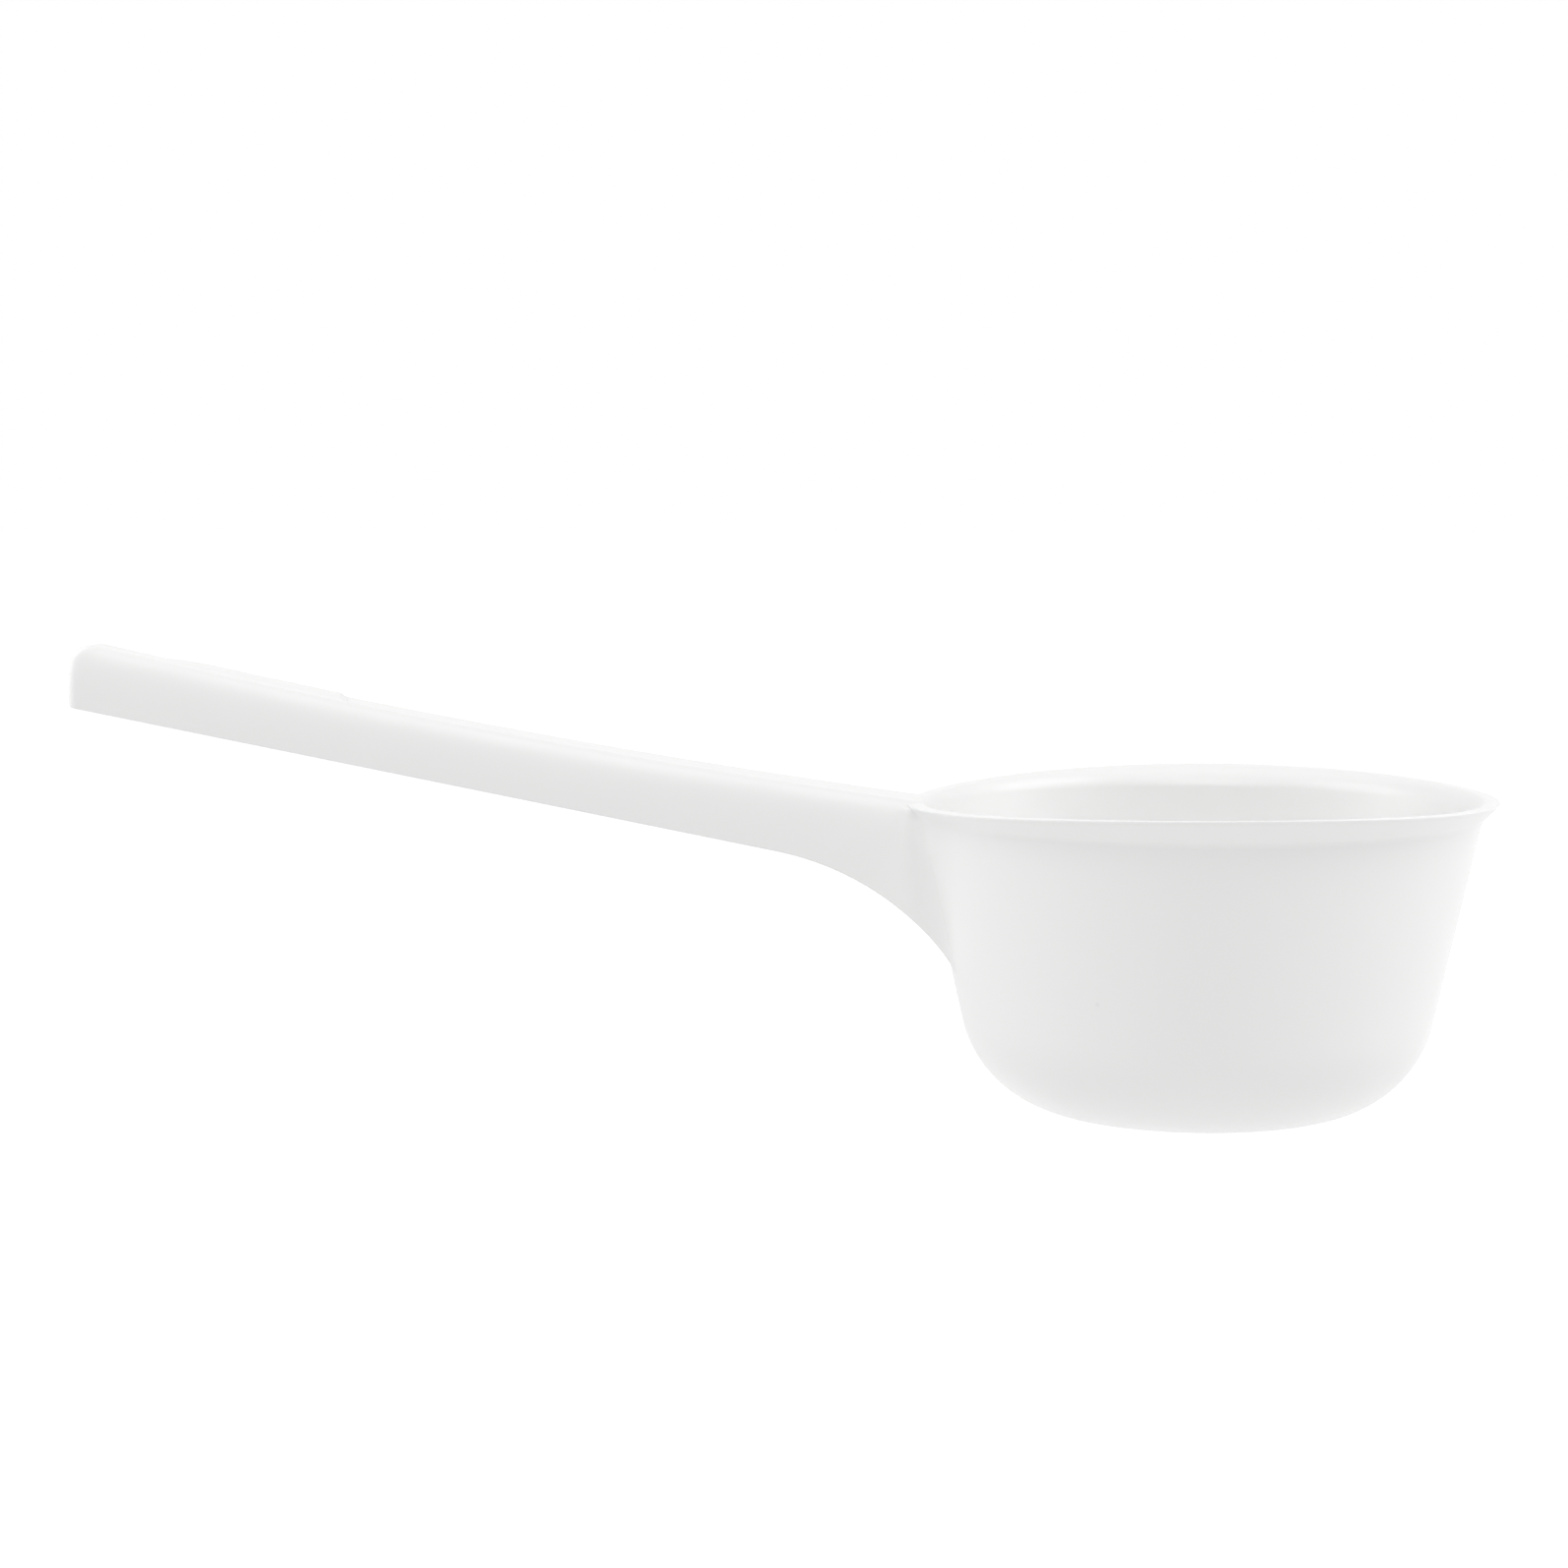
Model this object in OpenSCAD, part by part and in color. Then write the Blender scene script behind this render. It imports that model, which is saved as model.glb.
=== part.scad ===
// Water dipper, moulded as one piece: a round bowl with leaning walls and a
// flared lip, and a long handle that is a channel open underneath.
// Millimetres. The origin is the middle of the bowl's flat foot, +Z is up,
// the handle runs towards -X and the pouring side of the bowl is +X.

/* [Bowl] */
// Diameter of the flat foot that the dipper stands on
foot_d = 60; // [44:1:72]
// Outside radius between the foot and the wall
corner_r = 30; // [16:1:34]
// Lean of the wall from upright, in degrees
wall_lean = 12.4; // [6:0.1:16]
// Thickness of the bowl's wall
bowl_wall = 2.5; // [1.6:0.1:3.2]
// Thickness of the bowl's floor
floor_wall = 3; // [1.8:0.1:4]

/* [Lip] */
// Height at which the lip leaves the wall
lip_root_h = 75.2; // [68:0.1:77]
// Height of the rim at its highest point
rim_h = 81.6; // [80:0.1:90]
// Lean of the lip's outside from upright, in degrees
lip_lean = 45; // [25:1:55]
// Further lean of the lip's inside, which thins the lip towards its edge
lip_thinning = 7; // [0:1:8]
// Radius between the wall and the lip
lip_blend_r = 3; // [1:0.5:6]
// Radius of the long arch that the rim is cut to, seen from the side
rim_arch_r = 1083; // [600:1:4000]
// How far the highest point of the rim lies towards the pouring side
rim_crest_x = 12.3; // [0:0.1:20]

/* [Handle] */
// Reach of the handle's end from the axis of the bowl
handle_reach = 289.6; // [220:0.1:340]
// Width of the handle across its lower edges, where it meets the bowl
handle_w = 24.5; // [22:0.5:30]
// Width of the handle across its lower edges at its end
tip_w = 16; // [14:0.5:24]
// Height of the handle's raised edges at its end
tip_h = 118.4; // [114:0.1:128]
// Depth of the handle at its end
tip_depth = 17.3; // [14:0.1:20]
// Height of the handle's raised edges where they meet the rim
root_h = 79.2; // [79:0.1:83]
// Slope of the handle's top where it meets the rim, in degrees
root_slope = 7.5; // [6:0.1:9]
// Wall of the handle
handle_wall = 1.3; // [1.1:0.1:1.8]
// Slope of the handle's lower edges, in degrees
under_slope = 10.8; // [10:0.1:12]
// Radius of the handle's upper end corner, seen from the side
tip_corner_r = 6.5; // [3:0.5:8]
// Radius of the handle's end corners, seen from above
tip_side_r = 3; // [2:0.5:5]

/* [Handle top] */
// Width of the rounded shoulder outside each raised edge
shoulder_w = 4; // [3:0.1:5]
// Height of the rounded shoulder below each raised edge
shoulder_h = 15; // [8:0.5:16]
// Depth of the groove between the raised edges
groove_depth = 0.9; // [0.3:0.1:1.4]
// Height of the palm swell above the raised edges
swell_h = 1.3; // [0.6:0.1:2.4]
// Distance from the handle's end to the middle of the swell's long fade
swell_fade = 22; // [16:1:40]
// Distance from the handle's end to the step that ends the swell
swell_end = 71; // [55:0.5:110]

/* [Gusset] */
// Radius of the curve that deepens the handle towards the bowl
gusset_r = 71.7; // [65:0.1:85]
// Reach at which that curve begins, from the axis of the bowl
gusset_reach = 105.7; // [100:0.1:111]
// Length over which the handle's sides widen to meet the wall
flare_length = 10; // [5:0.5:16]
// Widening of each side where it meets the wall
flare_out = 4; // [1:0.5:6]

/* [Hidden] */
$fn = 144;

white = [0.95, 0.95, 0.94];
corner_steps = 14;
blend_steps = 5;
blank_spare = 2;
step_half = 1;
fade_half = 14;

foot_r = foot_d / 2;
corner_top = corner_r * (1 - sin(wall_lean));

// Rise of the handle's top beyond its root slope, which bends it upwards
rise = tip_h - root_h;
run = handle_reach - wall_r(root_h);
bend = (rise - run * tan(root_slope)) / (run * run);

// Narrowing of each side of the handle for each millimetre of reach
taper = (handle_w - tip_w) / 2 / run;

// Lower edges: a straight line up to the gusset, then an arc that it touches
under_end_h = tip_h - tip_depth;
arc_top_h = under_end_h - (handle_reach - gusset_reach) * tan(under_slope);
arc_x = gusset_reach + gusset_r * sin(under_slope);
arc_h = arc_top_h - gusset_r * cos(under_slope);

// Outside radius of the bowl's straight wall at a height
function wall_r(h) =
    foot_r + corner_r * cos(wall_lean) + (h - corner_top) * tan(wall_lean);

// Points along an arc round a centre, from one angle to another
function arc(centre, r, from, to, steps) =
    [for (i = [0:steps])
        let (a = from + (to - from) * i / steps)
        centre + r * [cos(a), sin(a)]];

// Smooth change from 0 to 1 as t goes from 0 to 1
function ease(t) =
    let (s = min(max(t, 0), 1))
    s * s * (3 - 2 * s);

// Drop of a rounded corner of radius r at a distance in from its end
function corner_drop(r, d) =
    d >= r ? 0 : r - sqrt(r * r - (r - d) * (r - d));

// Half profile of the bowl's skin, set in from the outside by a thickness.
// It runs from the axis along the floor and up to above the rim.
function bowl_profile(set_in, floor_h, lean) =
    let (
        r = corner_r - set_in,
        side = set_in / cos(wall_lean),
        corner = [wall_r(floor_h + r) - side - r / cos(wall_lean), floor_h + r],
        reach_in = lip_blend_r * tan((lip_lean - wall_lean) / 2),
        start_h = lip_root_h - reach_in * cos(wall_lean),
        blend = [wall_r(start_h), start_h]
            + lip_blend_r * [cos(wall_lean), -sin(wall_lean)],
        lip = arc(blend, lip_blend_r + set_in, 180 - wall_lean, 180 - lean, blend_steps),
        last = lip[blend_steps],
        top = rim_h + blank_spare
    )
    concat(
        [[0, floor_h]],
        arc(corner, r, -90, -wall_lean, corner_steps),
        lip,
        [[last[0] + (top - last[1]) * tan(lean), top], [0, top]]
    );

// Height of the handle's raised edges at a reach from the bowl's axis
function top_h(reach) =
    let (s = reach - wall_r(root_h))
    root_h + s * tan(root_slope) + bend * s * s;

// Half the width of the handle at a reach
function half_w(reach) = tip_w / 2 + (handle_reach - reach) * taper;

// Height of the handle's lower edges at a reach
function under_h(reach) =
    reach > gusset_reach
        ? under_end_h - (handle_reach - reach) * tan(under_slope)
        : arc_h + sqrt(max(gusset_r * gusset_r - (arc_x - reach) * (arc_x - reach), 1));

// Least height of the handle's lower edges inside the bowl, which keeps them
// within the rounded corner between the foot and the wall
function buried_h(reach) =
    let (out = norm([reach, half_w(reach) + flare_out]) - foot_r)
    out > corner_r * cos(wall_lean)
        ? 0
        : floor_wall / 2 + corner_r - sqrt(corner_r * corner_r - out * out);

// Height of the handle's middle above its raised edges at a reach
function middle_h(reach) =
    let (
        from_end = handle_reach - reach,
        fade = ease((from_end - swell_fade + fade_half) / (2 * fade_half)),
        step = ease((swell_end + step_half - from_end) / (2 * step_half))
    )
    (swell_h + groove_depth) * fade * step - groove_depth;

// Widening of the handle's side at a reach and height, close to the wall
function side_flare(reach, h) =
    let (
        wall = sqrt(pow(wall_r(h), 2) - pow(half_w(reach), 2)),
        near = 1 - min(max((reach - wall) / flare_length, 0), 1)
    )
    flare_out * near * near;

// One half of the handle's section, set in from its skin by a thickness. It
// runs from the middle of the top outwards and down to the lower edge, or
// lower by a spare. The shoulder is a quarter of an ellipse.
function half_section(reach, set_in, spare, top_steps, shoulder_steps, side_steps) =
    let (
        from_end = handle_reach - set_in - reach,
        top = top_h(reach) - set_in - corner_drop(tip_corner_r - set_in, from_end),
        in = corner_drop(tip_side_r - set_in, from_end),
        crest_y = half_w(reach) - shoulder_w,
        wide = shoulder_w - set_in - in,
        under = max(under_h(reach), buried_h(reach)) - spare,
        deep = min(shoulder_h - set_in, top - under - 1),
        middle = middle_h(reach)
    )
    concat(
        [for (i = [0:top_steps - 1])
            let (s = i / top_steps)
            [crest_y * s, top + middle * pow(1 - s * s, 2)]],
        [for (i = [0:shoulder_steps])
            let (a = 90 * i / shoulder_steps, h = top - deep * (1 - cos(a)))
            [crest_y + (wide + side_flare(reach, h)) * sin(a), h]],
        [for (i = [1:side_steps])
            let (h = top - deep + (under - top + deep) * i / side_steps)
            [crest_y + wide + side_flare(reach, h), h]]
    );

// Reaches of the rings round a rounded end, closest where it turns fastest
function rounded_end(end, r, steps) =
    [for (i = [0:steps]) end - r * (1 - cos(90 * i / steps))];

// Evenly spaced reaches after one and up to another
function even(from, to, steps) =
    [for (i = [1:steps]) from + (to - from) * i / steps];

// Closed ring round a section, from its half on the +Y side
function ring(reach, half) =
    concat(
        [for (i = [len(half) - 1:-1:0]) [-reach, half[i][0], half[i][1]]],
        [for (i = [1:len(half) - 1]) [-reach, -half[i][0], half[i][1]]]
    );

// Solid through a list of rings that have the same number of points. Each end
// is closed by triangles round its middle.
module loft(rings) {
    n = len(rings[0]);
    last = len(rings) - 1;
    middles = [for (k = [0, last]) [for (i = [1:n]) 1 / n] * rings[k]];
    sides = [for (k = [0:last - 1], i = [0:n - 1])
        let (a = k * n + i, b = k * n + (i + 1) % n)
        each [[a, b + n, b], [a, a + n, b + n]]];
    first_end = [for (i = [0:n - 1]) [(last + 1) * n, i, (i + 1) % n]];
    last_end = [for (i = [0:n - 1])
        [(last + 1) * n + 1, last * n + (i + 1) % n, last * n + i]];
    points = [for (ring = rings) each ring];
    polyhedron(concat(points, middles), concat(sides, first_end, last_end));
}

// Outside of the bowl as a solid, with the lip carried on above the rim
module bowl_outside() {
    rotate_extrude() polygon(bowl_profile(0, 0, lip_lean));
}

// Bowl before its inside is taken out, with the rim cut to its long arch
module bowl_blank() {
    intersection() {
        bowl_outside();
        translate([rim_crest_x, 0, rim_h - rim_arch_r])
            rotate([90, 0, 0])
                cylinder(r = rim_arch_r, h = 4 * wall_r(rim_h), center = true, $fn = 720);
    }
}

// The hollow of the bowl, which also trims the handle's root flush inside
module bowl_hollow() {
    rotate_extrude()
        polygon(bowl_profile(bowl_wall, floor_wall, lip_lean + lip_thinning));
}

// Handle as a solid bar, from its end to inside the bowl
module handle_bar() {
    step_end = handle_reach - swell_end - step_half;
    flare_start = wall_r(lip_root_h) + flare_length;
    reaches = concat(
        rounded_end(handle_reach, tip_corner_r, 5),
        even(handle_reach - tip_corner_r, step_end + 2 * step_half, 11),
        even(step_end + 2 * step_half, step_end, 4),
        even(step_end, gusset_reach, 7),
        even(gusset_reach, flare_start, 9),
        even(flare_start, foot_r + corner_r * 0.8, 18)
    );
    loft([for (reach = reaches) ring(reach, half_section(reach, 0, 0, 4, 7, 6))]);
}

// The channel under the handle, which leaves an even wall
module handle_channel() {
    end = handle_reach - handle_wall;
    step_end = handle_reach - swell_end - step_half;
    reaches = concat(
        rounded_end(end, tip_corner_r - handle_wall, 3),
        even(end - tip_corner_r + handle_wall, step_end + 2 * step_half, 6),
        even(step_end + 2 * step_half, step_end, 2),
        even(step_end, gusset_reach, 5),
        even(gusset_reach, foot_r + corner_r * 0.8, 12)
    );
    loft([for (reach = reaches)
        ring(reach, half_section(reach, handle_wall, blank_spare, 3, 5, 2))]);
}

// The handle's shell. It stays solid where it runs into the bowl's wall.
module handle() {
    difference() {
        handle_bar();
        difference() {
            handle_channel();
            bowl_outside();
        }
    }
}

module dipper() {
    color(white)
        difference() {
            union() {
                bowl_blank();
                handle();
            }
            bowl_hollow();
        }
}

dipper();
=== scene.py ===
"""Water dipper: a white moulded bowl with a flared, arched lip and a long channel handle.

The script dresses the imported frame. Shapes are worked out in millimetres in the frame's own
axes (foot on the floor, Z up, handle towards -X) and are put into Blender in metres.
"""

import logging
import math
from dataclasses import dataclass, field
from enum import Enum

import bmesh
import bpy
import numpy as np
from mathutils import Matrix, Vector


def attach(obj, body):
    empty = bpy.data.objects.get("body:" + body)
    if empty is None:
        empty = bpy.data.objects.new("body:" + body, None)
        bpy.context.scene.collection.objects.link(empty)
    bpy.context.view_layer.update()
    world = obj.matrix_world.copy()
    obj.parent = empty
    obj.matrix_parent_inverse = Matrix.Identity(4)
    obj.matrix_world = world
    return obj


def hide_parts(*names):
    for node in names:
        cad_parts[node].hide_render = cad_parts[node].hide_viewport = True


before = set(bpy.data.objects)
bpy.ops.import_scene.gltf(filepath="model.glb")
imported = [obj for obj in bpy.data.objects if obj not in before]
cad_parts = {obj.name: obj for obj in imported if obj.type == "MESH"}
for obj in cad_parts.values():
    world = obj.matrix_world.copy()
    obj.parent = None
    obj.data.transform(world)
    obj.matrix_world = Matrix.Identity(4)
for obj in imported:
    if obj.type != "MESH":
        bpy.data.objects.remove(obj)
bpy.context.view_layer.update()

log = logging.getLogger("dipper")
logging.basicConfig(level=logging.INFO, format="%(name)s: %(message)s")

METRE = 0.001
WELD = 1e-6
WHITE = (1.0, 1.0, 1.0, 1.0)
TINY = 1e-9


def ease(t: np.ndarray) -> np.ndarray:
    """Smooth step: 3t^2 - 2t^3 of t held between 0 and 1.

    Args:
        t: Any array.

    Returns:
        The eased values, from 0 to 1.
    """
    s = np.clip(t, 0.0, 1.0)
    return s * s * (3.0 - 2.0 * s)


def corner_drop(radius: float, inward: np.ndarray) -> np.ndarray:
    """Drop of a rounded corner: the radius less the height of a quarter circle.

    Args:
        radius: The corner's radius.
        inward: Distance in from the end, as an array.

    Returns:
        The drop, which is 0 from one radius inwards.
    """
    left = np.clip(radius - inward, 0.0, radius)
    return radius - np.sqrt(radius * radius - left * left)


def rounded(start: np.ndarray, corner: np.ndarray, end: np.ndarray, steps: int) -> np.ndarray:
    """Rounded corner: the curve (1-t)^2 start + 2t(1-t) corner + t^2 end.

    Args:
        start: Points where the rounding starts, shape (..., axes).
        corner: The sharp corners, same shape.
        end: Points where the rounding ends, same shape.
        steps: How many steps the curve takes.

    Returns:
        Points of shape (steps + 1, ..., axes).
    """
    t = np.linspace(0.0, 1.0, steps + 1).reshape((-1,) + (1,) * start.ndim)
    return (1 - t) ** 2 * start + 2 * t * (1 - t) * corner + t * t * end


def unit(vectors: np.ndarray) -> np.ndarray:
    """Vectors along the last axis divided by their length, with zero kept as zero."""
    length = np.linalg.norm(vectors, axis=-1, keepdims=True)
    return vectors / np.maximum(length, TINY)


@dataclass
class Shell:
    """A closed skin as a grid whose last column joins its first."""

    points: np.ndarray

    def quads(self, first: int) -> np.ndarray:
        """Quads between neighbouring rows and columns.

        Args:
            first: Number of this shell's first vertex in the mesh.

        Returns:
            Vertex numbers, shape (quads, 4).
        """
        rows, columns = self.points.shape[:2]
        i = np.arange(rows - 1)[:, None] * columns
        j = np.arange(columns)[None, :]
        k = (j + 1) % columns
        corners = np.stack([i + j, i + k, i + columns + k, i + columns + j], axis=-1)
        return corners.reshape(-1, 4) + first


def moulding(name: str, shells: list[Shell]) -> bpy.types.Object:
    """Puts closed shells into one object, welds their poles and turns faces outwards.

    Args:
        name: The piece's name.
        shells: Skins in millimetres.

    Returns:
        The new object, at the origin, shaded smooth.
    """
    points = [shell.points.reshape(-1, 3) for shell in shells]
    firsts = np.cumsum([0] + [len(skin) for skin in points[:-1]])
    quads = [shell.quads(int(first)) for shell, first in zip(shells, firsts)]
    mesh = bpy.data.meshes.new(name)
    mesh.from_pydata((np.concatenate(points) * METRE).tolist(), [], np.concatenate(quads).tolist())
    work = bmesh.new()
    work.from_mesh(mesh)
    bmesh.ops.remove_doubles(work, verts=work.verts, dist=WELD)
    bmesh.ops.dissolve_degenerate(work, edges=work.edges, dist=WELD)
    bmesh.ops.recalc_face_normals(work, faces=work.faces)
    work.to_mesh(mesh)
    work.free()
    mesh.polygons.foreach_set("use_smooth", np.ones(len(mesh.polygons), dtype=bool))
    mesh.update()
    piece = bpy.data.objects.new(name, mesh)
    bpy.context.scene.collection.objects.link(piece)
    return piece


@dataclass(frozen=True)
class LipSide:
    """One side of the lip: where it leaves the wall, its lean from upright and its turn.

    The shift says how far this side of the wall lies in from the outside, measured level.
    """

    root_h: float
    lean: float
    blend_r: float
    shift: float


@dataclass(frozen=True)
class BowlGrid:
    """How finely the bowl is divided: round it, and along each part of its profile.

    Flat parts have rows at these shares of their radius, the other parts have this many
    steps, and the rim's corner is settled in this many rounds.
    """

    around: int = 320
    flat: tuple[float, ...] = (0.0, 0.35, 0.7, 0.93)
    corner: int = 24
    wall: int = 16
    turn: int = 8
    lip: int = 4
    inner_lip: int = 12
    outer_edge: int = 10
    inner_edge: int = 6
    settle: int = 20


@dataclass(frozen=True)
class Bowl:
    """Round bowl with leaning walls and a flared lip, cut to a long arch seen from the side.

    The rim's outer edge is rounded over a long drop down the lip. The drop is as short as
    the edge beside the handle, and grows between two cosines of the direction round the bowl.
    """

    # Foot, corner and wall.
    foot_r: float = 30.0
    corner_r: float = 30.0
    lean: float = math.radians(12.4)
    wall: float = 2.5
    floor: float = 3.0
    # Lip, and the arch that cuts its rim.
    outer_lip: LipSide = LipSide(75.2, math.radians(46.5), 4.0, 0.0)
    inner_lip: LipSide = LipSide(78.5, math.radians(62.0), 6.0, 2.56)
    rim_h: float = 81.6
    arch_r: float = 1083.0
    crest_x: float = 12.3
    # Rounding of the rim's edges.
    outer_edge: float = 0.9
    outer_drop: float = 2.8
    short_drop_until: float = -0.96
    full_drop_from: float = -0.84
    inner_edge: float = 0.8
    # Rows of the skin.
    small_step: float = 0.2
    grid: BowlGrid = BowlGrid()

    def corner_top(self) -> float:
        """Height at which the rounded corner turns into the straight wall."""
        return self.corner_r * (1 - math.sin(self.lean))

    def wall_radius(self, h: np.ndarray) -> np.ndarray:
        """Outside radius of the straight wall, a line that leans out with height."""
        top = self.corner_top()
        return self.foot_r + self.corner_r * math.cos(self.lean) + (h - top) * math.tan(self.lean)

    def blend_centre(self, lip: LipSide) -> tuple[float, float]:
        """Radius and height of the centre that one side turns round from wall to lip.

        Args:
            lip: The side of the lip.

        Returns:
            The centre of the arc that touches the wall's line and the lip's line.
        """
        back = lip.blend_r * math.tan((lip.lean - self.lean) / 2)
        start = lip.root_h - back * math.cos(self.lean)
        radius = float(self.wall_radius(start)) - lip.shift + lip.blend_r * math.cos(self.lean)
        return radius, start - lip.blend_r * math.sin(self.lean)

    def inner_corner(self) -> tuple[float, float, float]:
        """Rounded corner of the inside.

        Returns:
            Radius and height of the corner's centre, and the corner's own radius, which is
            the outside's less the wall. The centre lies where the corner touches the wall.
        """
        r = self.corner_r - self.wall
        out = float(self.wall_radius(self.floor + r)) - (self.wall + r) / math.cos(self.lean)
        return out, self.floor + r, r

    def side_radius(self, h: np.ndarray, corner: tuple[float, float, float],
                    lip: LipSide) -> np.ndarray:
        """Radius at a height: corner arc, leaning line, arc of the lip's turn, lip's line.

        Args:
            h: Heights.
            corner: Radius and height of the corner's centre, and the corner's radius.
            lip: This side of the lip.

        Returns:
            Radii, same shape as the heights.
        """
        out, up, r = corner
        centre_r, centre_h = self.blend_centre(lip)
        low = up - r * math.sin(self.lean)
        start = centre_h + lip.blend_r * math.sin(self.lean)
        end = centre_h + lip.blend_r * math.sin(lip.lean)
        arc = out + np.sqrt(np.clip(r * r - (up - h) ** 2, 0.0, None))
        line = self.wall_radius(h) - lip.shift
        turn = centre_r - np.sqrt(np.clip(lip.blend_r ** 2 - (h - centre_h) ** 2, 0.0, None))
        flare = centre_r - lip.blend_r * math.cos(lip.lean) + (h - end) * math.tan(lip.lean)
        return np.select([h < low, h < start, h < end], [arc, line, turn], flare)

    def outside(self, h: np.ndarray) -> np.ndarray:
        """Outside radius at a height, with the lip carried on above the rim."""
        corner = (self.foot_r, self.corner_r, self.corner_r)
        return self.side_radius(h, corner, self.outer_lip)

    def inside(self, h: np.ndarray) -> np.ndarray:
        """Inside radius at a height, with the lip carried on above the rim."""
        return self.side_radius(h, self.inner_corner(), self.inner_lip)

    def rim_height(self, x: np.ndarray) -> np.ndarray:
        """Height of the rim: a circle of the arch's radius, highest at its crest."""
        return self.rim_h - self.arch_r + np.sqrt(self.arch_r ** 2 - (x - self.crest_x) ** 2)

    def rim_corner(self, turn: np.ndarray, outer: bool) -> np.ndarray:
        """Where one side of the wall meets the rim's cut.

        Args:
            turn: Cosines of the directions round the bowl.
            outer: Whether the outside is meant.

        Returns:
            Radius and height, shape (directions, 2). The height is found by putting the
            radius at a height into the arch's formula until it settles.
        """
        side = self.outside if outer else self.inside
        h = np.full_like(turn, self.rim_h)
        for _ in range(self.grid.settle):
            h = self.rim_height(side(h) * turn)
        return np.stack([side(h), h], axis=-1)

    def slope(self, corner: np.ndarray, outer: bool) -> np.ndarray:
        """Unit vectors down one side of the wall from the rim, by a small step in height.

        Args:
            corner: Radius and height at the rim, shape (directions, 2).
            outer: Whether the outside is meant.

        Returns:
            Unit vectors of radius and height, same shape.
        """
        side = self.outside if outer else self.inside
        down = np.stack([side(corner[:, 1] - self.small_step) - side(corner[:, 1]),
                         np.full(len(corner), -self.small_step)], axis=-1)
        return unit(down)

    def edges(self, turn: np.ndarray) -> tuple[np.ndarray, np.ndarray]:
        """Rounded outer and inner edges of the rim.

        Args:
            turn: Cosines of the directions round the bowl.

        Returns:
            Rows of radius and height over each edge, from the outside inwards.
        """
        top_out, top_in = self.rim_corner(turn, True), self.rim_corner(turn, False)
        across = unit(top_in - top_out)
        down_out, down_in = self.slope(top_out, True), self.slope(top_in, False)
        span = self.full_drop_from - self.short_drop_until
        beside = 1 - ease((turn - self.short_drop_until) / span)[:, None]
        drop = self.outer_drop + (self.outer_edge - self.outer_drop) * beside
        outer = rounded(top_out + drop * down_out, top_out,
                        top_out + self.outer_edge * across, self.grid.outer_edge)
        inner = rounded(top_in - self.inner_edge * across, top_in,
                        top_in + self.inner_edge * down_in, self.grid.inner_edge)
        return outer, inner

    def shell(self) -> Shell:
        """The bowl's closed skin: its profile of radius and height, turned about Z.

        Returns:
            The skin, from the middle of the foot up the outside, over the rim, and down
            the inside to the middle of the floor.
        """
        grid = self.grid
        angle = np.linspace(0.0, 2 * math.pi, grid.around, endpoint=False)
        turn = np.cos(angle)
        out_edge, in_edge = self.edges(turn)
        out_h, in_h = out_edge[0, :, 1], in_edge[-1, :, 1]
        out_lip, in_lip = self.outer_lip, self.inner_lip
        turn_h = self.blend_centre(out_lip)[1]
        low = turn_h + out_lip.blend_r * math.sin(self.lean)
        high = turn_h + out_lip.blend_r * math.sin(out_lip.lean) + self.small_step
        in_low = self.blend_centre(in_lip)[1] + in_lip.blend_r * math.sin(self.lean)
        out_in, up_in, r_in = self.inner_corner()
        in_corner_top = up_in - r_in * math.sin(self.lean)
        flat = np.array(grid.flat)
        sweep = np.linspace(-math.pi / 2, -self.lean, grid.corner + 1)
        wall, bend, lip, in_flare = (np.linspace(0, 1, n + 1)[1:, None] for n in
                                     (grid.wall, grid.turn, grid.lip, grid.inner_lip))
        rows = [
            self.level(flat * self.foot_r, np.zeros(len(flat))),
            self.level(self.foot_r + self.corner_r * np.cos(sweep),
                       self.corner_r * (1 + np.sin(sweep))),
            self.by_height(self.corner_top() + (low - self.corner_top()) * wall, True),
            self.by_height(low + (high - low) * bend, True),
            self.by_height(high + (out_h - high) * lip[:-1], True),
            out_edge,
            in_edge,
            self.by_height(in_h + (in_low - in_h) * in_flare, False),
            self.by_height(in_low + (in_corner_top - in_low) * wall[:-1], False),
            self.level(out_in + r_in * np.cos(sweep[::-1]), up_in + r_in * np.sin(sweep[::-1])),
            self.level(flat[::-1] * out_in, np.full(len(flat), self.floor)),
        ]
        profile = np.concatenate(rows)
        radius, height = profile[..., 0], profile[..., 1]
        return Shell(np.stack([radius * turn, radius * np.sin(angle), height], axis=-1))

    def level(self, radius: np.ndarray, height: np.ndarray) -> np.ndarray:
        """Rows of the profile that are the same all round the bowl."""
        pair = np.stack([radius, height], axis=-1)[:, None, :]
        return np.broadcast_to(pair, (len(radius), self.grid.around, 2))

    def by_height(self, height: np.ndarray, outer: bool) -> np.ndarray:
        """Rows of the profile at given heights, with each radius from one side's formula."""
        full = np.broadcast_to(height, (len(height), self.grid.around))
        return np.stack([(self.outside if outer else self.inside)(full), full], axis=-1)


@dataclass(frozen=True)
class HandleGrid:
    """How finely the handle is divided, across its section and along its length.

    Across, places run over the top, the shoulder and the side. Along, rows run from the
    root to mid-handle, on to near the swell's step, over the step, on to the tip's corner,
    round that corner and across the flat end. Reaches are in millimetres.
    """

    top: int = 10
    shoulder: int = 18
    side: tuple[float, ...] = (0.0, 0.1, 0.25, 0.42, 0.6, 0.78, 0.92, 0.98, 1.0)
    mid_reach: float = 120.0
    step_reach: float = 8.0
    near: int = 24
    middle: int = 35
    step: int = 48
    palm: int = 29
    corner: int = 18
    end: tuple[float, ...] = (0.96, 0.88, 0.75, 0.6, 0.42, 0.22, 0.0)
    edge: int = 4
    settle: int = 12
    settle_inner: int = 16


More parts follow.
